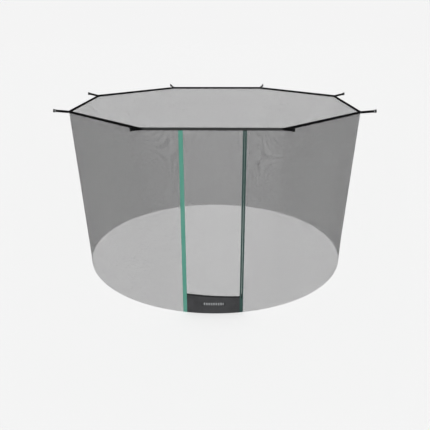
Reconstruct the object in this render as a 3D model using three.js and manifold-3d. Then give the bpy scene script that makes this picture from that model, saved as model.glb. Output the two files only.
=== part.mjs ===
// Safety enclosure net of a round garden trampoline, hung from eight poles.
// Millimetres, +Z up. The origin is the centre of the eight pole fastenings, level with the rim.
import * as THREE from 'three';
import { mergeVertices } from 'three/addons/utils/BufferGeometryUtils.js';
import Module from 'manifold-3d';

const wasm = await Module();
wasm.setup();

// Driving dimensions
const poleCount = 8;
const rimCornerRadius = 1605;
const hemRadius = 1528;
const netHeight = 1800;
const meshThickness = 2;
const webbingThickness = 3;
const rimWidth = 25;
const gap = 0.3;

const strapWidth = 25;
const strapThickness = 3;
const strapReach = 155;
const strapRise = THREE.MathUtils.degToRad(8.4);
const hookLength = 26;
const hookHeight = 31;
const hookBar = 4.5;
const hookThickness = 4;
const hookWall = 3;
const hookMouth = 6;
const lipLength = 11;
const lipThickness = 2.5;
const eyeHoleRadius = 3.4;
const eyeRadius = 5;
const patchLeg = 20;
const patchThickness = 1.5;
const rootGap = 3;

const hingeWebX = -269;
const hingeWebWidth = 38;
const zipX = 279;
const zipTapeWidth = 12.6;
const zipTapeThickness = 1.2;
const coilWidth = 3;
const coilDepth = 2.6;
const coilOffset = 1.1;
const thresholdLeftHeight = 210;
const thresholdRightHeight = 182;
const bindingHeight = 16;
const labelWidth = 226;
const labelHeight = 40;
const sliderLength = 16;
const sliderRoom = 24;

// Worked out from them
const halfSide = Math.PI / poleCount;
const rimApothem = rimCornerRadius * Math.cos(halfSide);
const rimBottom = -rimWidth / 2;
const meshTop = rimBottom - gap;
const hemZ = -netHeight;
const zipHalfWidth = coilOffset + coilWidth + zipTapeWidth;
const thresholdRightTop = hemZ + thresholdRightHeight;

// Finishes
const finish = (color, roughness, metalness = 0) => ({ color, roughness, metalness });
const netFinish = finish(0x2c2d2e, 0.75);
const webbingFinish = finish(0x17181a, 0.7);
const hingeWebFinish = finish(0x589c8a, 0.7);
const zipTapeFinish = finish(0x40605a, 0.75);
const coilFinish = finish(0x33504a, 0.45);
const hookFinish = finish(0x121314, 0.4);
const thresholdFinish = finish(0x434446, 0.85);
const bindingFinish = finish(0x2b2c2e, 0.8);
const labelFinish = finish(0xb9bcbe, 0.6);
const sliderFinish = finish(0x3a3d40, 0.35, 0.8);

const model = new THREE.Group();

function addMesh(parent, name, geometry, look) {
  const mesh = new THREE.Mesh(geometry, new THREE.MeshStandardMaterial(look));
  mesh.name = name;
  parent.add(mesh);
  return mesh;
}

// The net's middle surface, straight from the octagonal rim down to the round hem.
// angle is measured round from the front, side counts the octagon's sides the same way.
function netPoint(side, angle, z) {
  const drop = -z / netHeight;
  const rimDistance = rimApothem / Math.cos(angle - side * 2 * halfSide);
  const distance = THREE.MathUtils.lerp(rimDistance, hemRadius, drop);
  return new THREE.Vector3(distance * Math.sin(angle), -distance * Math.cos(angle), z);
}

// Borders of a piece: each gives the angle at a height
const cornerEdge = (corner, shift) => () => (2 * corner - 1) * halfSide + shift / rimCornerRadius;

const planDistance = (point) => Math.hypot(point.x, point.y);

const straightEdge = (x) => (z) => {
  let angle = 0;
  for (let step = 0; step < 8; step++) {
    angle = Math.asin(x / planDistance(netPoint(0, angle, z)));
  }
  return angle;
};

// Rounded to a 256th of a millimetre, which 32-bit numbers hold exactly
const snap = (value) => Math.round(value * 256) / 256;

// A box splits its front and its back along opposite diagonals. Splitting one of them
// the other way keeps a warped sheet the same thickness all over.
function matchDiagonals(geometry) {
  const { start, count } = geometry.groups[3];
  const index = geometry.index.array;
  for (let i = start; i < start + count; i += 6) {
    const [a, b, d, , c] = index.subarray(i, i + 6);
    index.set([a, b, c, a, c, d], i);
  }
}

// A sheet that follows the net's surface between two borders and two heights
function netSheet({ side = 0, left, right, top, bottom, thickness, proud = 0, columns, rows }) {
  const geometry = new THREE.BoxGeometry(1, 1, 1, columns, 1, rows);
  const position = geometry.attributes.position;
  const across = (height, u) => (typeof height === 'function' ? height(u) : height);
  for (let i = 0; i < position.count; i++) {
    const u = position.getX(i) + 0.5;
    const v = position.getZ(i) + 0.5;
    const z = THREE.MathUtils.lerp(across(bottom, u), across(top, u), v);
    const angle = THREE.MathUtils.lerp(left(z), right(z), u);
    const outward = proud - position.getY(i) * thickness;
    const point = netPoint(side, angle, z);
    point.x += outward * Math.sin(angle);
    point.y -= outward * Math.cos(angle);
    position.setXYZ(i, snap(point.x), snap(point.y), snap(point.z));
  }
  matchDiagonals(geometry);
  return geometry;
}

// Mesh walls, one for each side of the rim except the front
const sideNames = ['front', 'front_right', 'right', 'back_right', 'back', 'back_left', 'left', 'front_left'];

for (let side = 1; side < poleCount; side++) {
  const wall = netSheet({
    side,
    left: cornerEdge(side, gap / 2),
    right: cornerEdge(side + 1, -gap / 2),
    top: meshTop,
    bottom: hemZ,
    thickness: meshThickness,
    columns: 8,
    rows: 7,
  });
  addMesh(model, `wall_${sideNames[side]}`, wall, netFinish);
}

// Front side: a narrow wall each side of the doorway
const hingeWebLeft = hingeWebX - hingeWebWidth / 2;
const hingeWebRight = hingeWebX + hingeWebWidth / 2;
const zipLeft = zipX - zipHalfWidth;
const zipRight = zipX + zipHalfWidth;
const fullDrop = { top: meshTop, bottom: hemZ, rows: 6 };

addMesh(model, 'wall_front_beside_hinge', netSheet({
  ...fullDrop,
  left: cornerEdge(0, gap / 2),
  right: straightEdge(hingeWebLeft - gap),
  thickness: meshThickness,
  columns: 3,
}), netFinish);

addMesh(model, 'wall_front_beside_zip', netSheet({
  ...fullDrop,
  left: straightEdge(zipRight + gap),
  right: cornerEdge(1, -gap / 2),
  thickness: meshThickness,
  columns: 3,
}), netFinish);

addMesh(model, 'door_hinge_webbing', netSheet({
  ...fullDrop,
  left: straightEdge(hingeWebLeft),
  right: straightEdge(hingeWebRight),
  thickness: webbingThickness,
  columns: 1,
}), hingeWebFinish);

// Threshold below the door: its upper edge falls from the hinge side to the zip side
const thresholdTop = (u) => hemZ + THREE.MathUtils.lerp(thresholdLeftHeight, thresholdRightHeight, u);
const doorway = { left: straightEdge(hingeWebRight + gap), right: straightEdge(zipLeft - gap) };

addMesh(model, 'threshold_panel', netSheet({
  ...doorway,
  top: (u) => thresholdTop(u) - bindingHeight - gap,
  bottom: hemZ,
  thickness: webbingThickness,
  columns: 6,
  rows: 2,
}), thresholdFinish);

addMesh(model, 'threshold_binding', netSheet({
  ...doorway,
  top: thresholdTop,
  bottom: (u) => thresholdTop(u) - bindingHeight,
  thickness: webbingThickness + 1,
  columns: 6,
  rows: 1,
}), bindingFinish);

const labelMiddle = hemZ + 106;
addMesh(model, 'woven_label', netSheet({
  left: straightEdge(6 - labelWidth / 2),
  right: straightEdge(6 + labelWidth / 2),
  top: labelMiddle + labelHeight / 2,
  bottom: labelMiddle - labelHeight / 2,
  thickness: 1,
  proud: webbingThickness / 2 + gap + 0.9,
  columns: 3,
  rows: 1,
}), labelFinish);

// Door flap, with its half of the zip
const doorBottom = (u) => thresholdTop(u) + 1;
const doorZipBottom = thresholdRightTop + sliderRoom;

addMesh(model, 'door_panel', netSheet({
  ...doorway,
  top: meshTop,
  bottom: doorBottom,
  thickness: meshThickness,
  columns: 6,
  rows: 6,
}), netFinish);

function zipStrip(name, from, to, top, bottom, thickness, look) {
  const strip = netSheet({
    left: straightEdge(zipX + from),
    right: straightEdge(zipX + to),
    top,
    bottom,
    thickness,
    columns: 1,
    rows: 3,
  });
  addMesh(model, name, strip, look);
}

const coilEdge = coilOffset + coilWidth;
const zipTop = meshTop - 6;
zipStrip('zip_tape_door', -zipHalfWidth, -coilEdge - gap, meshTop, doorZipBottom, zipTapeThickness, zipTapeFinish);
zipStrip('zip_tape_wall', coilEdge + gap, zipHalfWidth, meshTop, thresholdRightTop + 1, zipTapeThickness,
  zipTapeFinish);
zipStrip('zip_coil_door', -coilEdge, -coilOffset, zipTop, doorZipBottom, coilDepth, coilFinish);
zipStrip('zip_coil_wall', coilOffset, coilEdge, zipTop, thresholdRightTop + 5, coilDepth, coilFinish);
zipStrip('zip_top_stop', -coilEdge, coilEdge, meshTop, zipTop + gap, coilDepth, sliderFinish);
zipStrip('zip_foot_tab', -zipHalfWidth, zipHalfWidth, thresholdRightTop, hemZ, webbingThickness, zipTapeFinish);
zipStrip('zip_retainer_box', -coilEdge, coilEdge, thresholdRightTop + 4.7, thresholdRightTop + gap, 4.5,
  sliderFinish);

// Zip slider, parked on the wall's half of the zip just above the retainer box
function toSolid(geometry) {
  const bare = geometry.index ? geometry.toNonIndexed() : geometry.clone();
  bare.deleteAttribute('normal');
  bare.deleteAttribute('uv');
  const merged = mergeVertices(bare);
  return new wasm.Manifold(new wasm.Mesh({
    numProp: 3,
    vertProperties: merged.attributes.position.array,
    triVerts: new Uint32Array(merged.index.array),
  }));
}

function toGeometry(solid) {
  const mesh = solid.getMesh();
  const geometry = new THREE.BufferGeometry();
  geometry.setAttribute('position', new THREE.BufferAttribute(mesh.vertProperties, 3));
  geometry.setIndex(new THREE.BufferAttribute(mesh.triVerts, 1));
  return geometry;
}

const box = (x, y, z, width, depth, height) =>
  new THREE.BoxGeometry(width, depth, height).translate(x, y, z);

const plateWidth = 11;
const plateThickness = 1.6;
const plateInner = coilDepth / 2 + 0.8;
const plateOuter = plateInner + plateThickness;
const postWidth = 2 * (coilOffset - 0.5);
const bridgeWidth = 2.6;
const bridgeReach = 4.4;
const bridgeLength = 12;
const bridgeBar = 2;
const tabThickness = 1.4;
const tabBar = 1.8;
const tabWidth = 9;
const tabLength = 40;
const tabEyeLength = 10;

function sliderSolid() {
  const plateMiddle = (plateInner + plateOuter) / 2;
  const pieces = [
    box(0, 0, 0, postWidth, 2 * plateInner + plateThickness, sliderLength),
    box(0, plateMiddle, 0, plateWidth, plateThickness, sliderLength),
    box(0, -plateMiddle, 0, plateWidth, plateThickness, sliderLength),
    box(0, -plateOuter - bridgeReach / 2 + 0.2, 0, bridgeWidth, bridgeReach + 0.4, bridgeLength),
  ];
  const window = box(0, -plateOuter - bridgeReach / 2 + bridgeBar / 2, 0, bridgeWidth + 2,
    bridgeReach - bridgeBar, bridgeLength - 2 * bridgeBar);
  return pieces.map(toSolid).reduce((whole, piece) => whole.add(piece)).subtract(toSolid(window));
}

function tabSolid() {
  const outline = new THREE.Shape();
  outline.moveTo(-tabWidth / 2, tabBar);
  outline.lineTo(-tabWidth / 2, tabBar - tabLength + tabWidth / 2);
  outline.absarc(0, tabBar - tabLength + tabWidth / 2, tabWidth / 2, Math.PI, 2 * Math.PI, false);
  outline.lineTo(tabWidth / 2, tabBar);
  const plate = new THREE.ExtrudeGeometry(outline, {
    depth: tabThickness,
    bevelEnabled: false,
    curveSegments: 8,
  });
  plate.rotateX(Math.PI / 2).translate(0, tabThickness / 2, -tabBar / 2);
  const eye = box(0, 0, -tabBar / 2 - tabEyeLength / 2, bridgeWidth + 2, tabThickness + 2, tabEyeLength);
  return toSolid(plate).subtract(toSolid(eye));
}

const sliderZ = thresholdRightTop + 5 + gap + sliderLength / 2;
const sliderPlace = netPoint(0, straightEdge(zipX)(sliderZ), sliderZ);
const sliderGroup = new THREE.Group();
sliderGroup.position.copy(sliderPlace);
// Halfway between the zip's own angle at the hem and at the straight rim, so the slider clears both
sliderGroup.rotation.z = Math.atan2(sliderPlace.x, -sliderPlace.y) / 2;
model.add(sliderGroup);
addMesh(sliderGroup, 'zip_slider', toGeometry(sliderSolid()), sliderFinish);

const pullTab = addMesh(sliderGroup, 'zip_pull_tab', toGeometry(tabSolid()), sliderFinish);
pullTab.position.set(0, -plateOuter - (bridgeReach - bridgeBar) / 2, bridgeLength / 2 - bridgeBar - tabBar / 2 - 0.4);

// Rim webbing: one mitred length along each side of the octagon
const rimLength = (apothem) => apothem * Math.tan(halfSide) - gap / 2 / Math.cos(halfSide);

for (let side = 0; side < poleCount; side++) {
  const inner = rimApothem - webbingThickness / 2;
  const outer = rimApothem + webbingThickness / 2;
  const outline = new THREE.Shape([
    new THREE.Vector2(-rimLength(outer), -outer),
    new THREE.Vector2(rimLength(outer), -outer),
    new THREE.Vector2(rimLength(inner), -inner),
    new THREE.Vector2(-rimLength(inner), -inner),
  ]);
  const length = new THREE.ExtrudeGeometry(outline, { depth: rimWidth, bevelEnabled: false });
  length.translate(0, 0, -rimWidth / 2);
  const rim = addMesh(model, `rim_webbing_${sideNames[side]}`, length, webbingFinish);
  rim.rotation.z = side * 2 * halfSide;
}

// Corner fastenings: patch, strap and end hook, in a frame with +X out from the corner
const patchInner = rimApothem + webbingThickness / 2 + gap;
const patchOuter = patchInner + patchThickness;
const strapRoot = patchOuter / Math.cos(halfSide) + rootGap;
const eyeDistance = strapReach - (strapRoot - rimCornerRadius) - (hookLength - hookBar / 2);

function patchGeometry() {
  const tip = (apothem) => apothem / Math.cos(halfSide);
  const end = (apothem, hand) => new THREE.Vector2(
    tip(apothem) - patchLeg * Math.sin(halfSide),
    hand * patchLeg * Math.cos(halfSide),
  );
  const outline = new THREE.Shape([
    new THREE.Vector2(tip(patchOuter), 0),
    end(patchOuter, 1),
    end(patchInner, 1),
    new THREE.Vector2(tip(patchInner), 0),
    end(patchInner, -1),
    end(patchOuter, -1),
  ]);
  const depth = rimWidth - 1;
  return new THREE.ExtrudeGeometry(outline, { depth, bevelEnabled: false }).translate(0, 0, -depth / 2);
}

function strapGeometry() {
  const half = strapThickness / 2;
  const meet = Math.asin(half / eyeRadius);
  const outline = new THREE.Shape();
  outline.moveTo(0, half);
  outline.lineTo(0, -half);
  outline.absarc(eyeDistance, 0, eyeRadius, Math.PI + meet, 3 * Math.PI - meet, false);
  const hole = new THREE.Path();
  hole.absarc(eyeDistance, 0, eyeHoleRadius, 0, 2 * Math.PI, true);
  outline.holes.push(hole);
  return new THREE.ExtrudeGeometry(outline, {
    depth: strapWidth,
    bevelEnabled: false,
    curveSegments: 12,
  }).translate(0, 0, -strapWidth / 2);
}

// The strap's eye turns on the bar; beyond it a plate ends in a hook that opens back towards the net
function hookGeometry() {
  const outer = hookLength - hookBar / 2;
  const windowEnd = eyeRadius + 0.6;
  const plate = box((outer - hookBar / 2) / 2, 0, 0, hookLength, hookThickness, hookHeight);
  const window = box((hookBar / 2 + windowEnd) / 2, 0, 0, windowEnd - hookBar / 2, hookThickness + 2,
    strapWidth + 2 * gap);
  const lipFar = hookThickness / 2 + hookMouth + lipThickness;
  const wall = box(outer - hookWall / 2, lipFar / 2, 0, hookWall, lipFar, hookHeight);
  const lip = box(outer - lipLength / 2, lipFar - lipThickness / 2, 0, lipLength, lipThickness, hookHeight);
  return toGeometry(toSolid(plate).subtract(toSolid(window)).add(toSolid(wall)).add(toSolid(lip)));
}

for (let pole = 0; pole < poleCount; pole++) {
  const corner = new THREE.Group();
  corner.rotation.z = (2 * pole - 1) * halfSide - Math.PI / 2;
  model.add(corner);
  addMesh(corner, `corner_patch_${pole + 1}`, patchGeometry(), webbingFinish);

  const fastening = new THREE.Group();
  fastening.position.x = strapRoot;
  fastening.rotation.y = -strapRise;
  corner.add(fastening);
  addMesh(fastening, `pole_strap_${pole + 1}`, strapGeometry(), webbingFinish);
  addMesh(fastening, `end_hook_${pole + 1}`, hookGeometry(), hookFinish).position.x = eyeDistance;
}

export default model;
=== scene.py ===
import math

import bmesh
import bpy
import numpy as np
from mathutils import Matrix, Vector


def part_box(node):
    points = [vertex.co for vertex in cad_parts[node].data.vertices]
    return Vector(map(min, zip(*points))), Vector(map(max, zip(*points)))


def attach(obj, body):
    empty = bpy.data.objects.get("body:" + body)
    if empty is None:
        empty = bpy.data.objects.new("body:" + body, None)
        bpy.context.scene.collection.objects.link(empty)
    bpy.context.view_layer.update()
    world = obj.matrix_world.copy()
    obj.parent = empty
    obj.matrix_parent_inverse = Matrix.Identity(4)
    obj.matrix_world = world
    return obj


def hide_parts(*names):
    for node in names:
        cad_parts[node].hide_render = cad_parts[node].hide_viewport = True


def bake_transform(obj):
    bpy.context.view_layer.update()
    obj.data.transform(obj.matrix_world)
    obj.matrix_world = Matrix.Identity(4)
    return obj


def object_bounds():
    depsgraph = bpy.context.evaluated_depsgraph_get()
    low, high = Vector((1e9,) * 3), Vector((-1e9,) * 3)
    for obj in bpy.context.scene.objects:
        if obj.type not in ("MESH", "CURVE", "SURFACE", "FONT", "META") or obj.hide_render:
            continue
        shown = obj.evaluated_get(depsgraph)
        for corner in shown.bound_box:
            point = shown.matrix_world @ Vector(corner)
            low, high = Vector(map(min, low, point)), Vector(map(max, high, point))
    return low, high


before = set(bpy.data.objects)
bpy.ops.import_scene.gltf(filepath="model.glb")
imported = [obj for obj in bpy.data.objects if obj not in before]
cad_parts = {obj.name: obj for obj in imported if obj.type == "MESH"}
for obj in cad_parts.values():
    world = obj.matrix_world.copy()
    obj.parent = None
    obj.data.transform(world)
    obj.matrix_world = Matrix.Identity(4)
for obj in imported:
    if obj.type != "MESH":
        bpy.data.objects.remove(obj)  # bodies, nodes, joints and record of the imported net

bpy.ops.object.select_all(action="DESELECT")
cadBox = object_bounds()
scene = bpy.context.scene
sideNames = ["front", "front_right", "right", "back_right", "back", "back_left", "left", "front_left"]

# The net's own shape: a straight-sided rim above, a round hem below, in metres
netShape = {
    "rimCorner": 1.605,  # from the net's axis to a corner of the rim
    "hem": 1.528,
    "drop": 1.8,
    "halfSide": math.pi / 8,
    "seam": 0.00015,     # half the gap between neighbouring walls
}
rimApothem = netShape["rimCorner"] * math.cos(netShape["halfSide"])
halfRim = rimApothem * math.tan(netShape["halfSide"])
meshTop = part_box("door_panel")[1].z
hemZ = cadBox[0].z


def turned(points, angle):
    # turns points about the net's axis
    c, s = math.cos(angle), math.sin(angle)
    x, y, z = points[:, 0], points[:, 1], points[:, 2]
    return np.column_stack([x * c - y * s, x * s + y * c, z])


def onNet(flat, side=0):
    # flat front view, x across, y into the net, z up, laid on the net's surface
    x, depth, z = flat[:, 0], flat[:, 1], flat[:, 2]
    share = np.clip(-z / netShape["drop"], 0, 1)
    angle = np.zeros(len(x))
    for step in range(8):
        reach = (1 - share) * rimApothem / np.cos(angle) + share * netShape["hem"]
        angle = np.arcsin(x / reach)
    reach = reach - depth
    laid = np.column_stack([reach * np.sin(angle), -reach * np.cos(angle), z])
    return turned(laid, side * 2 * netShape["halfSide"])


# ---- small modelling helpers
def pointsOf(piece):
    points = np.zeros(len(piece.data.vertices) * 3)
    piece.data.vertices.foreach_get("co", points)
    return points.reshape(-1, 3)


def movePoints(piece, points):
    piece.data.vertices.foreach_set("co", np.asarray(points, float).ravel())
    piece.data.update()


def pickOnly(piece):
    bpy.ops.object.select_all(action="DESELECT")
    bpy.context.view_layer.objects.active = piece
    piece.select_set(True)


def addBlock(name, low, high):
    bpy.ops.object.select_all(action="DESELECT")
    bpy.ops.mesh.primitive_cube_add(size=1, location=[(a + b) / 2 for a, b in zip(low, high)])
    block = bpy.context.object
    block.name = block.data.name = name
    block.scale = [b - a for a, b in zip(low, high)]
    bpy.ops.object.transform_apply(location=True, rotation=True, scale=True)
    return block


def choose(piece, kind, test):
    # in edit mode, selects the vertices, edges or faces that pass the test
    bpy.context.tool_settings.mesh_select_mode = (kind == "verts", kind == "edges", kind == "faces")
    mesh = bmesh.from_edit_mesh(piece.data)
    for group in (mesh.verts, mesh.edges, mesh.faces):
        for part in group:
            part.select = False
    for part in getattr(mesh, kind):
        if test(part):
            part.select_set(True)
    bmesh.update_edit_mesh(piece.data)


def runsAlong(edge, axis):
    span = edge.verts[1].co - edge.verts[0].co
    return abs(span[axis]) > 0.999 * span.length


def splitAlong(piece, axis, cuts):
    pickOnly(piece)
    bpy.ops.object.mode_set(mode="EDIT")
    choose(piece, "edges", lambda edge: runsAlong(edge, axis))
    bpy.ops.mesh.subdivide(number_cuts=cuts)
    bpy.ops.object.mode_set(mode="OBJECT")


def bevelAlong(piece, axis, width, segments=2, test=lambda edge: True):
    # rounds the sharp edges that run along an axis
    def sharp(edge):
        return runsAlong(edge, axis) and edge.calc_face_angle(0) > 0.5 and test(edge)

    pickOnly(piece)
    bpy.ops.object.mode_set(mode="EDIT")
    choose(piece, "edges", sharp)
    bpy.ops.mesh.bevel(offset=width, segments=segments)
    bpy.ops.object.mode_set(mode="OBJECT")


def useModifier(piece, kind, **settings):
    pickOnly(piece)
    modifier = piece.modifiers.new(kind.lower(), kind)
    for key, value in settings.items():
        setattr(modifier, key, value)
    bpy.ops.object.modifier_apply(modifier=modifier.name)


def roundEdges(piece, width, segments, degrees):
    useModifier(piece, "BEVEL", width=width, segments=segments, limit_method="ANGLE",
                angle_limit=math.radians(degrees))


def clothMap(piece, across=(1, 1, 0), along=(0, 0, 1)):
    # the cloth's own flat coordinates, in metres, so that a weave follows the piece
    points = pointsOf(piece)
    flat = np.column_stack([points @ np.array(across, float), points @ np.array(along, float)])
    corners = np.zeros(len(piece.data.loops), int)
    piece.data.loops.foreach_get("vertex_index", corners)
    layer = piece.data.uv_layers.get("cloth") or piece.data.uv_layers.new(name="cloth")
    layer.data.foreach_set("uv", flat[corners].astype(np.float32).ravel())


def softened(name, node, width, segments=2):
    # a merged copy of a CAD node with rounded edges
    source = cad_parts[node]
    piece = bpy.data.objects.new(name, source.data.copy())
    piece.data.name = name
    scene.collection.objects.link(piece)
    piece.data.materials.clear()
    pickOnly(piece)
    bpy.ops.object.mode_set(mode="EDIT")
    bpy.ops.mesh.select_all(action="SELECT")
    bpy.ops.mesh.remove_doubles(threshold=0.00001)
    bpy.ops.mesh.dissolve_limited(angle_limit=math.radians(1))
    bpy.ops.object.mode_set(mode="OBJECT")
    roundEdges(piece, width, segments, 30)
    return piece


def finish(piece, body, material, nodes=(), smooth=40):
    # material, smoothing, place in the frame and the CAD nodes that the piece stands for
    pickOnly(piece)
    bpy.ops.object.transform_apply(location=True, rotation=True, scale=True)
    if smooth:
        bpy.ops.object.shade_smooth_by_angle(angle=math.radians(smooth))
    piece.data.materials.clear()
    piece.data.materials.append(material)
    if body:
        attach(piece, body)
    if nodes:
        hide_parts(*nodes)
    piece.visible_shadow = False
    piece.select_set(False)
    return piece


def copyOf(piece, name):
    other = bpy.data.objects.new(name, piece.data.copy())
    other.data.name = name
    scene.collection.objects.link(other)
    return other


# ---- materials
def addNode(material, kind, inputs=None, **settings):
    node = material.node_tree.nodes.new(kind)
    for key, value in settings.items():
        setattr(node, key, value)
    for key, value in (inputs or {}).items():
        if isinstance(value, bpy.types.NodeSocket):
            material.node_tree.links.new(value, node.inputs[key])
        else:
            node.inputs[key].default_value = value
    return node


def maths(material, operation, first, second=0.0):
    return addNode(material, "ShaderNodeMath", {0: first, 1: second}, operation=operation).outputs[0]


def spread(material, value, low, high, fromLow=0.0, fromHigh=1.0):
    return addNode(material, "ShaderNodeMapRange", {
        "Value": value, "From Min": fromLow, "From Max": fromHigh, "To Min": low, "To Max": high,
    }).outputs["Result"]


def mixed(material, share, first, second):
    node = addNode(material, "ShaderNodeMix", {"Factor": share}, data_type="RGBA")
    for socket, value in ((node.inputs[6], first), (node.inputs[7], second)):
        if isinstance(value, bpy.types.NodeSocket):
            material.node_tree.links.new(value, socket)
        else:
            socket.default_value = (*value, 1)
    return node.outputs[2]


def newMaterial(name, **plain):
    material = bpy.data.materials.new(name)
    material.use_nodes = True
    shader = material.node_tree.nodes["Principled BSDF"]
    for key, value in plain.items():
        shader.inputs[key].default_value = value
    return material, shader


def join(material, output, shader, key):
    material.node_tree.links.new(output, shader.inputs[key])


def noise(material, place, scale, detail, rough=0.5):
    return addNode(material, "ShaderNodeTexNoise", {
        "Vector": place, "Scale": scale, "Detail": detail, "Roughness": rough,
    }).outputs["Fac"]


def addBump(material, shader, height, strength, distance):
    bump = addNode(material, "ShaderNodeBump", {"Height": height, "Strength": strength, "Distance": distance})
    join(material, bump.outputs["Normal"], shader, "Normal")


# how fine the small unevenness of each surface is
fineScale = {"fuzz": 1400.0, "grain": 2200.0, "slubs": 700.0, "drift": 1.7, "labelFuzz": 900.0}


def wovenCloth(name, look):
    # warp and weft in the cloth's own coordinates, with slow fading, fuzz and a bump
    material, shader = newMaterial(name, **look["plain"])
    cloth = addNode(material, "ShaderNodeUVMap", uv_map="cloth").outputs["UV"]
    place = addNode(material, "ShaderNodeTexCoord").outputs["Object"]
    parts = addNode(material, "ShaderNodeSeparateXYZ", {"Vector": cloth})
    turnsAcross = maths(material, "MULTIPLY", parts.outputs["X"], 2 * math.pi / look["warp"])
    turnsAlong = maths(material, "MULTIPLY", parts.outputs["Y"], 2 * math.pi / look["weft"])
    if look["twill"]:
        turnsAcross = maths(material, "ADD", turnsAcross, maths(material, "MULTIPLY", turnsAlong, 0.5))
    weave = maths(material, "MULTIPLY", maths(material, "SINE", turnsAcross),
                  maths(material, "SINE", turnsAlong))
    height = spread(material, weave, 0, 1, -1, 1)
    fade = noise(material, place, look["fadeScale"], 4.0)
    fuzz = noise(material, place, fineScale["fuzz"], 2.0)
    threads = mixed(material, height, look["low"], look["high"])
    worn = mixed(material, spread(material, fade, 0, look["fade"], 0.42, 0.7), threads, look["pale"])
    colour = mixed(material, spread(material, fuzz, 0, 0.25, 0.5, 0.8), worn, look["pale"])
    join(material, colour, shader, "Base Color")
    join(material, spread(material, maths(material, "ADD", height, fuzz), *look["rough"], 0, 2),
         shader, "Roughness")
    relief = maths(material, "ADD", height, maths(material, "MULTIPLY", fuzz, 0.35))
    addBump(material, shader, relief, look["relief"], 0.0003)
    return material


def mouldedPlastic(name, look):
    # fine grain, flow marks and paler scuffs
    material, shader = newMaterial(name, **look["plain"])
    place = addNode(material, "ShaderNodeTexCoord").outputs["Object"]
    grain = noise(material, place, fineScale["grain"], 2.0)
    scuffs = noise(material, place, look["scuffScale"], 6.0, 0.7)
    wear = spread(material, scuffs, 0, 1, 0.56, 0.68)
    join(material, mixed(material, wear, look["colour"], look["pale"]), shader, "Base Color")
    join(material, spread(material, scuffs, *look["rough"], 0.3, 0.7), shader, "Roughness")
    addBump(material, shader, maths(material, "ADD", grain, wear), 0.25, 0.0002)
    return material


def netThread(name, look):
    # monofilament: slow tone drift over the wall, slubs along each thread
    material, shader = newMaterial(name, **look["plain"])
    place = addNode(material, "ShaderNodeTexCoord").outputs["Object"]
    drift = noise(material, place, fineScale["drift"], 3.0)
    slubs = noise(material, place, fineScale["slubs"], 2.0)
    tone = mixed(material, spread(material, drift, 0, 1, 0.35, 0.65), look["low"], look["high"])
    worn = mixed(material, spread(material, slubs, 0, 0.4, 0.5, 0.8), tone, look["pale"])
    join(material, worn, shader, "Base Color")
    join(material, spread(material, slubs, *look["rough"], 0.3, 0.7), shader, "Roughness")
    addBump(material, shader, slubs, 0.3, 0.0002)
    return material


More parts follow.
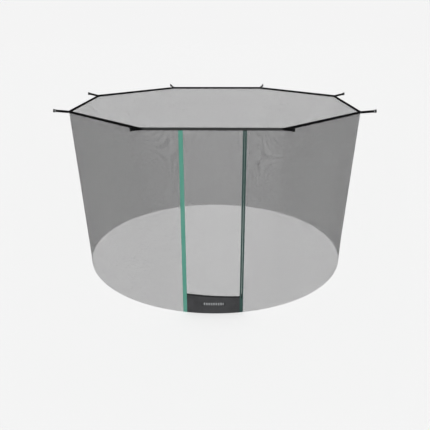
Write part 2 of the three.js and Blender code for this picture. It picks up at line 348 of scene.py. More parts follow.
looks = {
    "net": {"low": (0.060, 0.060, 0.061), "high": (0.072, 0.072, 0.073), "pale": (0.10, 0.10, 0.102),
            "rough": (0.40, 0.5), "plain": {"Specular IOR Level": 0.5}},
    "sideNet": {"low": (0.060, 0.060, 0.061), "high": (0.072, 0.072, 0.073), "pale": (0.10, 0.10, 0.102),
                "rough": (0.55, 0.65), "plain": {"Specular IOR Level": 0.0}},
    # the threads' inner faces: a darker, duller copy of the net, painted shade on the walls seen from inside
    "shadedNetInside": {"low": (0.050, 0.050, 0.051), "high": (0.062, 0.062, 0.063), "pale": (0.09, 0.09, 0.092),
                  "rough": (0.6, 0.7), "plain": {"Specular IOR Level": 0.0}},
    "doorNet": {"low": (0.085, 0.085, 0.086), "high": (0.10, 0.10, 0.101), "pale": (0.13, 0.13, 0.132),
                "rough": (0.38, 0.48), "plain": {"Specular IOR Level": 0.7}},
    "blackWebbing": {"warp": 0.0016, "weft": 0.0024, "twill": True, "low": (0.0015, 0.0015, 0.0017),
                     "high": (0.004, 0.004, 0.0045), "pale": (0.011, 0.011, 0.012),
                     "fade": 0.25, "fadeScale": 7.0,
                     "rough": (0.6, 0.8), "relief": 0.6, "plain": {"Specular IOR Level": 0.06}},
    # the front band: a paler, glossier copy of the black webbing, painted sheen from the front light
    "frontBandSheen": {"warp": 0.0016, "weft": 0.0024, "twill": True, "low": (0.006, 0.006, 0.0065),
                       "high": (0.016, 0.016, 0.017), "pale": (0.035, 0.035, 0.037),
                       "fade": 0.3, "fadeScale": 7.0,
                       "rough": (0.5, 0.7), "relief": 0.6, "plain": {"Specular IOR Level": 0.45}},
    "tealWebbing": {"warp": 0.0016, "weft": 0.0024, "twill": True, "low": (0.08, 0.30, 0.225),
                    "high": (0.145, 0.44, 0.345), "pale": (0.2, 0.45, 0.37), "fade": 0.35, "fadeScale": 5.0,
                    "rough": (0.55, 0.75), "relief": 0.6, "plain": {"Specular IOR Level": 0.25}},
    "zipTape": {"warp": 0.0008, "weft": 0.0010, "twill": True, "low": (0.026, 0.066, 0.058),
                "high": (0.044, 0.096, 0.085), "pale": (0.07, 0.125, 0.112), "fade": 0.3, "fadeScale": 6.0,
                "rough": (0.6, 0.8), "relief": 0.5, "plain": {"Specular IOR Level": 0.2}},
    "thresholdCloth": {"warp": 0.0011, "weft": 0.0011, "twill": False, "low": (0.035, 0.036, 0.038),
                       "high": (0.060, 0.061, 0.064), "pale": (0.09, 0.09, 0.095),
                       "fade": 0.4, "fadeScale": 9.0,
                       "rough": (0.5, 0.75), "relief": 0.5, "plain": {"Specular IOR Level": 0.3}},
    "bindingTape": {"warp": 0.0010, "weft": 0.0016, "twill": True, "low": (0.010, 0.010, 0.011),
                    "high": (0.022, 0.022, 0.024), "pale": (0.05, 0.05, 0.052), "fade": 0.3, "fadeScale": 8.0,
                    "rough": (0.55, 0.75), "relief": 0.5, "plain": {"Specular IOR Level": 0.25}},
    "stitching": {"warp": 0.0006, "weft": 0.0006, "twill": True, "low": (0.007, 0.007, 0.0075),
                  "high": (0.016, 0.016, 0.017), "pale": (0.04, 0.04, 0.042), "fade": 0.2, "fadeScale": 40.0,
                  "rough": (0.45, 0.6), "relief": 0.6, "plain": {"Specular IOR Level": 0.15}},
    "hookPlastic": {"colour": (0.004, 0.004, 0.0045), "pale": (0.02, 0.02, 0.022), "scuffScale": 160.0,
                    "rough": (0.35, 0.5), "plain": {"Specular IOR Level": 0.25}},
    "zipCoil": {"colour": (0.024, 0.055, 0.048), "pale": (0.06, 0.10, 0.09), "scuffScale": 300.0,
                "rough": (0.3, 0.45), "plain": {"Specular IOR Level": 0.4}},
    "zipMetal": {"colour": (0.012, 0.013, 0.014), "pale": (0.14, 0.145, 0.15), "scuffScale": 420.0,
                 "rough": (0.3, 0.5), "plain": {"Specular IOR Level": 0.4, "Metallic": 0.5}},
}
netMaterial = netThread("netThread", looks["net"])
sideNetMaterial = netThread("sideNetThread", looks["sideNet"])
shadedNetInsideMaterial = netThread("netThreadShadedInside", looks["shadedNetInside"])
doorMaterial = netThread("doorThread", looks["doorNet"])
webbingMaterial = wovenCloth("blackWebbing", looks["blackWebbing"])
frontBandSheenMaterial = wovenCloth("frontBandSheen", looks["frontBandSheen"])
tealMaterial = wovenCloth("tealWebbing", looks["tealWebbing"])
zipTapeMaterial = wovenCloth("zipTape", looks["zipTape"])
thresholdMaterial = wovenCloth("thresholdCloth", looks["thresholdCloth"])
bindingMaterial = wovenCloth("bindingTape", looks["bindingTape"])
stitchMaterial = wovenCloth("stitchingThread", looks["stitching"])
tealStitchMaterial = wovenCloth("tealStitching", {**looks["stitching"], "low": (0.05, 0.2, 0.15),
                                                  "high": (0.09, 0.3, 0.23), "pale": (0.2, 0.42, 0.35)})
hookMaterial = mouldedPlastic("hookPlastic", looks["hookPlastic"])
coilMaterial = mouldedPlastic("zipCoil", looks["zipCoil"])
metalMaterial = mouldedPlastic("zipMetal", looks["zipMetal"])
print("materials ready")

# ---- camera, floor and light
studio = {
    "cameraFrom": (0.0917, -5.460, 0.793),
    "cameraTurn": (90 - 21.61, 0.06, 0.96),  # degrees
    "lens": 39.47,
    "seen": 0.905,       # the backdrop as the camera sees it
    "around": 0.30,      # the room's light on the net
    "overhead": 2.0,
    "front": 1.5,
    "frontFrom": (0.02, -1.0, 0.12),
}
camera = bpy.data.objects.new("camera", bpy.data.cameras.new("camera"))
scene.collection.objects.link(camera)
camera.location = studio["cameraFrom"]
camera.rotation_euler = [math.radians(turn) for turn in studio["cameraTurn"]]
camera.data.lens = studio["lens"]
camera.data.clip_end = 500
scene.camera = camera
scene.view_settings.view_transform = "Standard"
scene.cycles.use_denoising = True
scene.cycles.denoising_input_passes = "RGB"  # the threads are too fine to guide the denoiser


def addSun(name, energy, fromPlace, degrees):
    sun = bpy.data.objects.new(name, bpy.data.lights.new(name, "SUN"))
    sun.data.energy = energy
    sun.data.angle = math.radians(degrees)
    sun.rotation_mode = "QUATERNION"
    sun.rotation_quaternion = Vector(fromPlace).to_track_quat("Z", "Y")
    scene.collection.objects.link(sun)
    return Vector(fromPlace).normalized().z * energy / math.pi


floorLight = studio["around"]
floorLight += addSun("overheadSoftbox", studio["overhead"], (0, 0, 1), 70)
floorLight += addSun("frontSoftbox", studio["front"], studio["frontFrom"], 24)

scene.world = bpy.data.worlds.new("room")
scene.world.use_nodes = True
room = scene.world.node_tree
backdrop = room.nodes["Background"]
backdrop.inputs["Color"].default_value = (1, 1, 1, 1)
sight = room.nodes.new("ShaderNodeLightPath")
strength = room.nodes.new("ShaderNodeMapRange")
strength.inputs["To Min"].default_value = studio["around"]
strength.inputs["To Max"].default_value = studio["seen"]
room.links.new(sight.outputs["Is Camera Ray"], strength.inputs["Value"])
room.links.new(strength.outputs["Result"], backdrop.inputs["Strength"])

bpy.ops.mesh.primitive_circle_add(vertices=96, radius=90, fill_type="NGON", location=(0, 0, hemZ - 0.0005))
floor = bpy.context.object
floor.name = "floor"
bpy.ops.object.transform_apply(location=True, rotation=True, scale=True)
floorMaterial, floorShader = newMaterial("paleFloor", Roughness=1.0, **{"Specular IOR Level": 0.0})
tone = studio["seen"] / floorLight
floorShader.inputs["Base Color"].default_value = (tone, tone, tone, 1)
floor.data.materials.append(floorMaterial)
floor.visible_diffuse = floor.visible_glossy = False  # its bounce would wash out the black net
print("studio ready, floor tone", round(tone, 3))

# ---- mesh walls and door flap: real threads
mesh = {
    "pitch": 0.0025,
    "threadWidth": 0.00076,
    "threadRidge": 0.00001,  # flat monofilament, hardly thicker than foil
    "cover": 0.6,            # cloth area of an open mesh, as a share of its outline
    "arcSteps": 8,
    "doorSteps": 24,
}


def wallPoints(rim, hem, u, z):
    # u runs from 0 to 1 across the wall, and z down it
    share = -z / netShape["drop"]
    angle = hem[0] + (hem[1] - hem[0]) * u
    x = (1 - share) * (rim[0] + (rim[1] - rim[0]) * u) + share * netShape["hem"] * np.sin(angle)
    y = -(1 - share) * rimApothem - share * netShape["hem"] * np.cos(angle)
    return np.stack([x, y, z + 0 * u], axis=-1)


def wallFacing(rim, hem, u, z):
    # directions along the wall and out of it, where u and z are
    share = -z / netShape["drop"]
    angle = hem[0] + (hem[1] - hem[0]) * u
    arc = share * netShape["hem"] * (hem[1] - hem[0])
    x = (1 - share) * (rim[1] - rim[0]) + arc * np.cos(angle)
    y = arc * np.sin(angle)
    span = np.hypot(x, y)
    return np.stack([x / span, y / span, 0 * x], axis=-1), np.stack([y / span, -x / span, 0 * x], axis=-1)


def threadFaces(count, steps):
    # faces of a batch of three-sided threads, each closed at both ends
    perThread = (steps + 1) * 3
    sides = [[s * 3 + k, s * 3 + (k + 1) % 3, s * 3 + 3 + (k + 1) % 3, s * 3 + 3 + k]
             for s in range(steps) for k in range(3)]
    caps = [[2, 1, 0], [steps * 3, steps * 3 + 1, steps * 3 + 2]]
    start = (np.arange(count) * perThread)[:, None, None]
    return (start + np.array(sides)).reshape(-1, 4), (start + np.array(caps)).reshape(-1, 3)


def threadPoints(centres, wide, outward):
    # a ridge outside and two edges inside, round each centre
    half = mesh["threadWidth"] / 2
    corners = [centres + mesh["threadRidge"] * outward, centres - half * wide, centres + half * wide]
    return np.stack(corners, axis=-2)


def threadSheet(name, side, rim, hem, bottom, downSteps, outside):
    # bottom gives the height of the lower edge at each end
    width = rim[1] - rim[0]
    upright = max(4, round(width / mesh["pitch"]))
    level = round((meshTop - hemZ) / mesh["pitch"] * (meshTop - sum(bottom) / 2) / (meshTop - hemZ))
    edge = mesh["threadWidth"] / 2 / width
    u = np.linspace(edge, 1 - edge, upright)[:, None]
    fall = np.linspace(0, 1, downSteps + 1)[None, :]
    lower = bottom[0] + (bottom[1] - bottom[0]) * u
    z = meshTop + (lower - meshTop) * fall
    acrossWall, outward = wallFacing(rim, hem, u, z)
    uprights = threadPoints(wallPoints(rim, hem, u + 0 * z, z), acrossWall, outward).reshape(-1, 3)
    quads, caps = threadFaces(upright, downSteps)
    u = np.linspace(0, 1, mesh["arcSteps"] + 1)[None, :]
    fall = np.linspace(mesh["threadWidth"] / 3, 1 - mesh["threadWidth"] / 3, level)[:, None]
    lower = bottom[0] + (bottom[1] - bottom[0]) * u
    z = meshTop + (lower - meshTop) * fall
    outward = wallFacing(rim, hem, u, z)[1]
    levels = threadPoints(wallPoints(rim, hem, u + 0 * z, z), np.array([0.0, 0, 1]), outward).reshape(-1, 3)
    moreQuads, moreCaps = threadFaces(level, mesh["arcSteps"])
    points = turned(np.vstack([uprights, levels]), side * 2 * netShape["halfSide"])
    faces = (quads.tolist() + caps.tolist() + (moreQuads + len(uprights)).tolist()
             + (moreCaps + len(uprights)).tolist())
    data = bpy.data.meshes.new(name)
    data.from_pydata(points.tolist(), [], faces)
    inner = np.zeros(len(faces), np.int32)  # the flat side of each thread faces into the net and takes the darker inside copy, painted shade
    inner[1:len(quads):3] = 1
    inner[len(quads) + len(caps) + 1:len(faces) - len(moreCaps):3] = 1
    data.materials.append(outside)
    data.materials.append(shadedNetInsideMaterial)
    data.polygons.foreach_set("material_index", inner)
    data.update()
    piece = bpy.data.objects.new(name, data)
    scene.collection.objects.link(piece)
    piece.visible_shadow = piece.visible_diffuse = False  # thousands of thread shadows would only make noise
    return piece


cornerAngle = netShape["halfSide"] - netShape["seam"] / netShape["hem"]
cornerRim = halfRim - netShape["seam"]


def hemAngle(x):
    return math.asin(x / netShape["hem"])


def netWall(name, node, side, rim, hem, bottom=(hemZ, hemZ), door=False):
    outside = doorMaterial if door else sideNetMaterial if side else netMaterial
    piece = threadSheet(name, side, rim, hem, bottom, mesh["doorSteps"] if door else 1, outside)
    if not door:
        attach(piece, "net")
    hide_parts(node)
    return piece


hingeBox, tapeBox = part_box("door_hinge_webbing"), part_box("zip_tape_wall")
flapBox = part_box("door_panel")
doorBottom = (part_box("threshold_binding")[1].z + 0.001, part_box("zip_foot_tab")[1].z + 0.001)


def makeWalls():
    for side in range(1, 8):
        netWall(f"mesh_{sideNames[side]}", f"wall_{sideNames[side]}", side, (-cornerRim, cornerRim),
                (-cornerAngle, cornerAngle))
    left, right = hingeBox[0].x - 0.0003, tapeBox[1].x + 0.0003
    netWall("mesh_beside_hinge", "wall_front_beside_hinge", 0, (-cornerRim, left),
            (-cornerAngle, hemAngle(left)))
    netWall("mesh_beside_zip", "wall_front_beside_zip", 0, (right, cornerRim),
            (hemAngle(right), cornerAngle))
    flap = netWall("mesh_door_flap", "door_panel", 0, (flapBox[0].x, flapBox[1].x),
                   (hemAngle(flapBox[0].x), hemAngle(flapBox[1].x)), doorBottom, door=True)
    foldDoor(flap)


def foldDoor(piece):
    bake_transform(piece)


# ---- stitches
stitch = {"length": 0.0036, "pitch": 0.005, "width": 0.0009, "height": 0.0005}


def stitchRow(name, count, pitch, axis=0):
    # one stitch, pinched at its ends where the thread dives into the cloth, then copied in a row from 0
    size = [stitch["width"]] * 3
    size[axis] = stitch["length"]
    size[1] = stitch["height"] * 2
    row = addBlock(name, [-s / 2 for s in size], [s / 2 for s in size])
    splitAlong(row, axis, 1)
    points = pointsOf(row)
    ends = np.abs(points[:, axis]) > stitch["length"] / 4
    for other in range(3):
        if other != axis:
            points[ends, other] *= 0.45
    movePoints(row, points)
    step = [0.0, 0.0, 0.0]
    step[axis] = pitch
    useModifier(row, "ARRAY", count=count, use_relative_offset=False, use_constant_offset=True,
                constant_offset_displace=step)
    return row


def joined(name, rows):
    bpy.ops.object.select_all(action="DESELECT")
    for row in rows:
        row.select_set(True)
    bpy.context.view_layer.objects.active = rows[0]
    if len(rows) > 1:
        bpy.ops.object.join()
    rows[0].name = rows[0].data.name = name
    return rows[0]


# ---- rim webbing: a doubled band with its fold up and its mouth down, where the mesh goes in
rim = {"height": 0.025, "thickness": 0.003, "edge": 0.0009, "mouth": 0.0035, "hem": 0.0008, "steps": 40,
       "rows": (-0.0085, 0.0085), "ripple": 0.0004}


def rimBand():
    half = rim["thickness"] / 2
    band = addBlock("rimBand", (-cornerRim, -half, -rim["height"] / 2), (cornerRim, half, rim["height"] / 2))
    bevelAlong(band, 0, rim["edge"], 3, lambda edge: edge.verts[0].co.z > 0)
    pickOnly(band)
    bpy.ops.object.mode_set(mode="EDIT")
    choose(band, "faces", lambda face: face.normal.z < -0.9)
    bpy.ops.mesh.inset(thickness=rim["hem"])
    bpy.ops.mesh.extrude_region_move(TRANSFORM_OT_translate={"value": (0, 0, rim["mouth"])})
    bpy.ops.object.mode_set(mode="OBJECT")
    splitAlong(band, 0, rim["steps"])
    points = pointsOf(band)
    points[:, 1] += rim["ripple"] * np.sin(points[:, 0] * 61) * np.sin(points[:, 0] * 17 + 1)
    movePoints(band, points)
    clothMap(band)
    return band


def aroundRim(points, side):
    reach = rimApothem - points[:, 1]
    place = np.column_stack([points[:, 0] * reach / rimApothem, -reach, points[:, 2]])
    return turned(place, side * 2 * netShape["halfSide"])


def makeRim():
    band = rimBand()
    count = int((2 * cornerRim - 0.01) / stitch["pitch"])
    rows = []
    for height in rim["rows"]:
        for face in (-1, 1):
            row = stitchRow("rimRow", count, stitch["pitch"])
            place = [-(count - 1) * stitch["pitch"] / 2, face * rim["thickness"] / 2, height]
            movePoints(row, pointsOf(row) + place)
            rows.append(row)
    rows = joined("rimRows", rows)
    clothMap(rows)
    for side in range(8):
        for source, name, material in ((band, "rim_band", webbingMaterial),
                                       (rows, "rim_stitching", stitchMaterial)):
            piece = copyOf(source, f"{name}_{sideNames[side]}")
            movePoints(piece, aroundRim(pointsOf(piece), side))
            nodes = [f"rim_webbing_{sideNames[side]}"] if name == "rim_band" else []
            # the front band gets the paler copy of the webbing: painted sheen
            if side == 0 and nodes:
                material = frontBandSheenMaterial
            finish(piece, "net", material, nodes)
    bpy.data.objects.remove(band)
    bpy.data.objects.remove(rows)


# ---- corner patch, strap and hook
corner = {
    "patchLeg": 0.0185,       # from the corner to either end of the patch
    "patchHeight": 0.024,
    "patchThickness": 0.0015,
    "patchGap": 0.0003,
    "rootX": 1.6115719,       # from the net's axis to where the strap begins
    "rise": math.radians(8.4),
    "eye": 0.1246781,         # from there to the bar that the strap goes round
    "eyeRadius": 0.00435,
    "flare": 0.006,           # where the strap's two layers part for the eye
    "tail": 0.0024,           # strap behind its root, under the patch
    "strapHeight": 0.0246,
    "strapEdge": 0.0003,
    "strapSteps": 20,
    "layer": 0.0013,
    "bend": 0.016,
}


def cornerTurn(pole):
    return (2 * pole - 3) * netShape["halfSide"] - math.pi / 2


def makePatches():
    reach = rimApothem + rim["thickness"] / 2 + corner["patchGap"] + corner["patchThickness"] / 2
    tip = reach / math.cos(netShape["halfSide"])
    half, tall = corner["patchThickness"] / 2, corner["patchHeight"] / 2
    patch = addBlock("patch", (-half, -corner["patchLeg"], -tall), (half, corner["patchLeg"], tall))
    for axis in range(3):
        bevelAlong(patch, axis, 0.0004, 2)
    splitAlong(patch, 1, 9)
    clothMap(patch, (0, 1, 0))
    rows = []
    for height in (-0.0095, 0.0095):
        row = stitchRow("patchRow", 7, 0.0052)
        movePoints(row, pointsOf(row) + [-0.0156, 0, height])
        rows.append(row)
    for across in (-0.0165, -0.003, 0.003, 0.0165):
        row = stitchRow("patchRow", 4, 0.0048, 2)
        movePoints(row, pointsOf(row) + [across, 0, -0.0072])
        rows.append(row)
    rows = joined("patchRows", rows)
    points = pointsOf(rows)
    movePoints(rows, np.column_stack([half - points[:, 1], points[:, 0], points[:, 2]]))
    clothMap(rows, (0, 1, 0))
    for pole in range(1, 9):
        for source, name, material in ((patch, "patch", webbingMaterial),
                                       (rows, "patch_stitching", stitchMaterial)):
            piece = copyOf(source, f"{name}_{pole}")
            points = pointsOf(piece)
            points[:, 0] += tip - np.abs(points[:, 1]) * math.tan(netShape["halfSide"])
            movePoints(piece, turned(points, cornerTurn(pole)))
            nodes = [f"corner_patch_{pole}"] if name == "patch" else []
            finish(piece, "net", material, nodes)
    bpy.data.objects.remove(patch)
    bpy.data.objects.remove(rows)


def atPole(points, pole):
    # from the strap's own frame, x out along it, to its place at the pole
    c, s = math.cos(corner["rise"]), math.sin(corner["rise"])
    place = np.column_stack([corner["rootX"] + points[:, 0] * c - points[:, 2] * s, points[:, 1],
                             points[:, 0] * s + points[:, 2] * c])
    return turned(place, cornerTurn(pole))


def pull(step):
    # one more length of webbing from the selected edge
    bpy.ops.mesh.extrude_region_move(TRANSFORM_OT_translate={"value": step})


def strapWebbing():
    # one length of webbing, sewn to the patch, out round the hook's bar and back on itself
    layer, radius, flare, tail = (corner[key] for key in ("layer", "eyeRadius", "flare", "tail"))
    steps = corner["strapSteps"]
    bpy.ops.object.select_all(action="DESELECT")
    bpy.ops.mesh.primitive_plane_add(size=1, rotation=(math.pi / 2, 0, 0))
    strap = bpy.context.object
    bpy.ops.object.transform_apply(location=True, rotation=True, scale=True)
    straight = corner["eye"] - radius - flare + tail
    movePoints(strap, pointsOf(strap) * [straight, 1, corner["strapHeight"]]
               + [straight / 2 - tail, -layer / 2, 0])
    splitAlong(strap, 0, steps)
    pickOnly(strap)
    bpy.ops.object.mode_set(mode="EDIT")
    last = straight - tail
    choose(strap, "edges", lambda edge: min(v.co.x for v in edge.verts) > last - 0.0001)
    # up the side of the eye, round the bar and down again
    pull((flare, layer - radius, 0))
    pull((radius, -layer / 2, 0))
    bpy.ops.mesh.spin(steps=10, angle=math.pi, center=(corner["eye"], 0, 0), axis=(0, 0, 1))
    pull((-radius, -layer / 2, 0))
    pull((-flare, layer - radius, 0))
    for step in range(steps):
        pull((-straight / steps, 0, 0))
    bpy.ops.mesh.select_all(action="SELECT")
    bpy.ops.mesh.remove_doubles(threshold=0.00002)
    bpy.ops.mesh.normals_make_consistent(inside=False)
    bpy.ops.object.mode_set(mode="OBJECT")
    return strap


def makeStraps():
    strap = strapWebbing()
    useModifier(strap, "SOLIDIFY", thickness=corner["layer"], offset=0)
    roundEdges(strap, corner["strapEdge"], 2, 50)
    clothMap(strap, (1, 1, 0))
    rows = []
    for face in (-1, 1):
        out = face * corner["layer"] * 0.98
        for height in (-0.0102, 0.0102):
            row = stitchRow("strapRow", 19, stitch["pitch"])
            movePoints(row, pointsOf(row) + [0.008, out, height])
            rows.append(row)
        for place in (0.0035, 0.1035, 0.1065):  # bar-tacks
            row = stitchRow("barTack", 5, 0.0045, 2)
            movePoints(row, pointsOf(row) + [place, out, -0.009])
            rows.append(row)
    rows = joined("strapRows", rows)
    clothMap(rows)
    for pole in range(1, 9):
        out = Vector((math.cos(cornerTurn(pole)), math.sin(cornerTurn(pole)), 0))
        for source, name, material in ((strap, "strap", webbingMaterial),
                                       (rows, "strap_stitching", stitchMaterial)):
            piece = copyOf(source, f"{name}_{pole}")
            movePoints(piece, atPole(pointsOf(piece), pole))
            nodes = [f"pole_strap_{pole}"] if name == "strap" else []
            finish(piece, None, material, nodes)
            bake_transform(piece)
        hook = softened(f"moulded_hook_{pole}", f"end_hook_{pole}", 0.0007)
        finish(hook, f"hook_{pole}", hookMaterial, [f"end_hook_{pole}"])
    bpy.data.objects.remove(strap)
    bpy.data.objects.remove(rows)


# ---- strips of cloth laid on the net beside the doorway
def layCloth(piece):
    clothMap(piece)
    movePoints(piece, onNet(pointsOf(piece)))
    return piece


hinge = {"thickness": 0.003, "rows": (-0.0155, 0.0155), "steps": 60}


def makeHingeWebbing():
    # selvedges a little thicker than the middle, two rows of stitches through the mesh behind
    low, high, half = hingeBox[0].x, hingeBox[1].x, hinge["thickness"] / 2
    webbing = addBlock("hinge_webbing", (low, -half, hemZ), (high, half, meshTop))
    bevelAlong(webbing, 2, 0.0009, 3)
    splitAlong(webbing, 0, 6)
    splitAlong(webbing, 2, hinge["steps"])
    points = pointsOf(webbing)
    middle, span = (low + high) / 2, (high - low) / 2
    crown = np.cos(np.clip((points[:, 0] - middle) / span, -1, 1) * math.pi * 1.5) * 0.00018
    points[:, 1] *= 1 - crown * 500
    points[:, 1] += 0.0005 * np.sin(points[:, 2] * 23) * np.cos(points[:, 2] * 7)
    movePoints(webbing, points)
    finish(layCloth(webbing), "net", tealMaterial, ["door_hinge_webbing"])
    count = int((meshTop - hemZ - 0.012) / stitch["pitch"])
    rows = []
    for across in hinge["rows"]:
        for face in (-1, 1):
            row = stitchRow("hingeRow", count, stitch["pitch"], 2)
            movePoints(row, pointsOf(row) + [middle + across, face * half, hemZ + 0.008])
            rows.append(row)
    rows = joined("hinge_stitching", rows)
    finish(layCloth(rows), "net", tealStitchMaterial)


zipLook = {
    "x": 0.279,
    "tapeThickness": 0.0012,
    "tapeFrom": 0.0008,    # the tape's inner edge, from the zip's middle
    "sliderRoom": 0.0062,  # half the slider's width, and a little
    "toothPitch": 0.0019,
    "toothWidth": 0.0034,
    "toothDepth": 0.0026,
    "wire": 0.00066,
    "coilFrom": 0.0025,    # the coil's middle, from the zip's middle
}


def zipTape(name, node, body, side):
    # the tape runs on behind its coil, and the door's tape hangs down to the threshold beside the slider
    low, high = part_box(node)
    half = zipLook["tapeThickness"] / 2
    left, right = low.x + 0.0001, high.x - 0.0001
    inner = zipLook["x"] + side * zipLook["tapeFrom"]
    left, right = (inner, right) if side > 0 else (left, inner)
    tape = addBlock(name, (left, -half, low.z), (right, half, high.z))
    bevelAlong(tape, 2, 0.0004, 2)
    splitAlong(tape, 0, 5)
    splitAlong(tape, 2, 40)
    points = pointsOf(tape)
    reach = np.abs(points[:, 0] - zipLook["x"])
    bead = reach < reach.min() + 0.002  # the corded edge that carries the coil
    points[bead, 1] *= 1.5
    points[:, 1] += 0.0002 * np.sin(points[:, 2] * 31)
    if side < 0:
        hanging = (points[:, 2] < low.z + 0.0001) & (points[:, 0] < zipLook["x"] - zipLook["sliderRoom"])
        points[hanging, 2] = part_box("zip_foot_tab")[1].z + 0.001
    movePoints(tape, points)
    finish(layCloth(tape), body, zipTapeMaterial, [node])
    return tape


def zipTeeth(name, node, body, side):
    # one turn of the coil, slanted as the wire runs, copied up the tape
    low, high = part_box(node)
    bpy.ops.object.select_all(action="DESELECT")
    bpy.ops.mesh.primitive_torus_add(major_segments=8, minor_segments=3, major_radius=0.0012,
                                     minor_radius=zipLook["wire"])
    teeth = bpy.context.object
    teeth.name = teeth.data.name = name
    middle = zipLook["x"] + side * zipLook["coilFrom"]
    points = pointsOf(teeth)
    reach = np.abs(points).max(0)
    points = points / reach * [zipLook["toothWidth"] / 2, zipLook["toothDepth"] / 2, zipLook["wire"]]
    points[:, 2] += points[:, 1] * 0.35
    count = int((high.z - low.z - 0.003) / zipLook["toothPitch"])
    movePoints(teeth, points + [middle, 0, low.z + 0.0015])
    useModifier(teeth, "ARRAY", count=count, use_relative_offset=False, use_constant_offset=True,
                constant_offset_displace=(0, 0, zipLook["toothPitch"]))
    finish(layCloth(teeth), body, coilMaterial, [node], smooth=60)
    return teeth


def zipFitting(name, node, edge, body):
    finish(softened(name, node, edge), body, metalMaterial, [node])


def makeZip():
    foldDoor(zipTape("tape_door", "zip_tape_door", None, -1))
    zipTape("tape_wall", "zip_tape_wall", "net", 1)
    foldDoor(zipTeeth("coil_door", "zip_coil_door", None, -1))
    zipTeeth("coil_wall", "zip_coil_wall", "net", 1)
    zipFitting("top_stop", "zip_top_stop", 0.0005, "net")
    zipFitting("retainer_box", "zip_retainer_box", 0.0005, "net")
    tab = softened("foot_tab", "zip_foot_tab", 0.0006)
    clothMap(tab)
    finish(tab, "net", zipTapeMaterial, ["zip_foot_tab"])
    zipFitting("slider_body", "zip_slider", 0.0004, "slider")
    zipFitting("pull_tab_plate", "zip_pull_tab", 0.0003, "pull_tab")


# ---- threshold below the door
threshold = {"left": 0.210, "right": 0.182, "binding": 0.016, "thickness": 0.003, "ripple": 0.0011}


def thresholdTop(x):
    share = (x - flapBox[0].x) / (flapBox[1].x - flapBox[0].x)
    return hemZ + threshold["left"] + (threshold["right"] - threshold["left"]) * share


def makeThreshold():
    half = threshold["thickness"] / 2
    low, high = flapBox[0].x, flapBox[1].x
    panel = addBlock("threshold_cloth", (low, -half, 0), (high, half, 1))
    splitAlong(panel, 0, 48)
    splitAlong(panel, 2, 18)
    points = pointsOf(panel)
    x, up = points[:, 0].copy(), points[:, 2].copy()
    points[:, 2] = hemZ + up * (thresholdTop(x) - threshold["binding"] - 0.0003 - hemZ)
    calm = np.sin(np.clip(up, 0, 1) * math.pi) ** 0.5
    points[:, 1] += threshold["ripple"] * calm * (np.sin(x * 29 + 1.3) * 0.6 + np.sin(x * 51 + up * 5) * 0.4)
    movePoints(panel, points)
    clothMap(panel)
    finish(layCloth(panel), "net", thresholdMaterial, ["threshold_panel"])

    tape = addBlock("threshold_tape", (low, -half - 0.0005, 0), (high, half + 0.0005, threshold["binding"]))
    bevelAlong(tape, 0, 0.0012, 3, lambda edge: edge.verts[0].co.z > 0.001)
    bevelAlong(tape, 0, 0.0004, 2, lambda edge: edge.verts[0].co.z < 0.001)
    splitAlong(tape, 0, 48)
    points = pointsOf(tape)
    points[:, 2] += thresholdTop(points[:, 0]) - threshold["binding"]
    movePoints(tape, points)
    finish(layCloth(tape), "net", bindingMaterial, ["threshold_binding"])
    rows = []
    for height, face in ((0.0035, -1), (0.0035, 1), (0.0125, -1)):
        count = int((high - low - 0.008) / 0.004)
        row = stitchRow("bindingRow", count, 0.004)
        points = pointsOf(row) + [low + 0.005, face * (half + 0.0005), 0]
        points[:, 2] += thresholdTop(points[:, 0]) - threshold["binding"] + height
        movePoints(row, points)
        rows.append(row)
    rows = joined("threshold_stitching", rows)
    finish(layCloth(rows), "net", stitchMaterial)


label = {"ground": (0.05, 0.051, 0.054), "figure": (0.42, 0.43, 0.44), "thread": (0.02, 0.02, 0.021),
         "rim": 0.0022, "proud": 0.0027, "half": 0.0005, "stitchPitch": 0.004,
         "wide": 0.100, "tall": 0.0135, "barsPerMetre": 44.0, "barShare": 0.62}


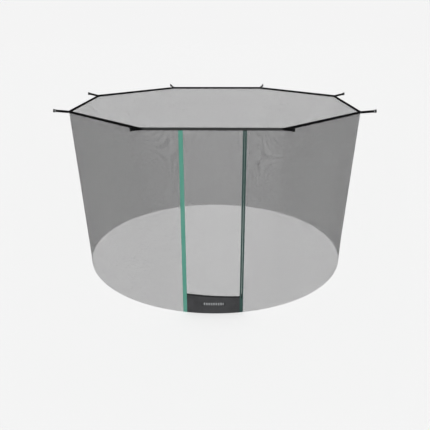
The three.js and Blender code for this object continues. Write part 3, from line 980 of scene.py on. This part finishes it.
def labelMaterial():
    # a plain band of pale bars on a dark ground
    material, shader = newMaterial("labelWeave", **{"Specular IOR Level": 0.3})
    cloth = addNode(material, "ShaderNodeUVMap", uv_map="cloth").outputs["UV"]
    parts = addNode(material, "ShaderNodeSeparateXYZ", {"Vector": cloth})
    count = maths(material, "MULTIPLY", parts.outputs["X"], label["barsPerMetre"])
    bars = maths(material, "LESS_THAN", maths(material, "FRACT", count), label["barShare"])
    middle = maths(material, "LESS_THAN", maths(material, "ABSOLUTE", parts.outputs["Y"]), label["tall"])
    within = maths(material, "LESS_THAN", maths(material, "ABSOLUTE", parts.outputs["X"]), label["wide"])
    figure = maths(material, "MULTIPLY", maths(material, "MULTIPLY", bars, middle), within)
    threads = addNode(material, "ShaderNodeTexWave", {
        "Vector": cloth, "Scale": 320.0, "Distortion": 0.6,
    }).outputs["Fac"]
    fuzz = noise(material, cloth, fineScale["labelFuzz"], 2.0)
    weave = mixed(material, figure, label["ground"], label["figure"])
    colour = mixed(material, spread(material, threads, 0, 0.3), weave, label["thread"])
    join(material, colour, shader, "Base Color")
    join(material, spread(material, fuzz, 0.5, 0.75), shader, "Roughness")
    addBump(material, shader, maths(material, "ADD", threads, figure), 0.4, 0.0002)
    return material


def makeLabel():
    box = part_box("woven_label")
    left, right = box[0].x, box[1].x
    halfWide, halfTall = (right - left) / 2, (box[1].z - box[0].z) / 2
    half, pitch = label["half"], label["stitchPitch"]
    patch = addBlock("woven_patch", (-halfWide, -half, -halfTall), (halfWide, half, halfTall))
    for axis in range(3):
        bevelAlong(patch, axis, 0.0003, 2)
    splitAlong(patch, 0, 24)
    clothMap(patch, (1, 0, 0))
    place = [(left + right) / 2, -label["proud"] - 0.0006, (box[0].z + box[1].z) / 2]
    movePoints(patch, onNet(pointsOf(patch) + place))
    finish(patch, "net", labelMaterial(), ["woven_label"])
    rows = []
    for height in (-1, 1):
        count = int((2 * halfWide - 0.006) / pitch)
        row = stitchRow("labelRow", count, pitch)
        offset = [-(count - 1) * pitch / 2, -half, height * (halfTall - label["rim"])]
        movePoints(row, pointsOf(row) + place + offset)
        rows.append(row)
    for hand in (-1, 1):
        row = stitchRow("labelRow", 8, 0.0044, 2)
        movePoints(row, pointsOf(row) + place + [hand * (halfWide - label["rim"]), -half, -0.0154])
        rows.append(row)
    rows = joined("label_stitching", rows)
    finish(layCloth(rows), "net", stitchMaterial)


makeRim()
print("rim webbing and stitches done")
makeWalls()
print("mesh walls and door flap done")
makePatches()
makeStraps()
print("corner patches, straps and hooks done")
makeHingeWebbing()
makeZip()
print("hinge webbing and zip done")
makeThreshold()
makeLabel()
print("threshold and label done")
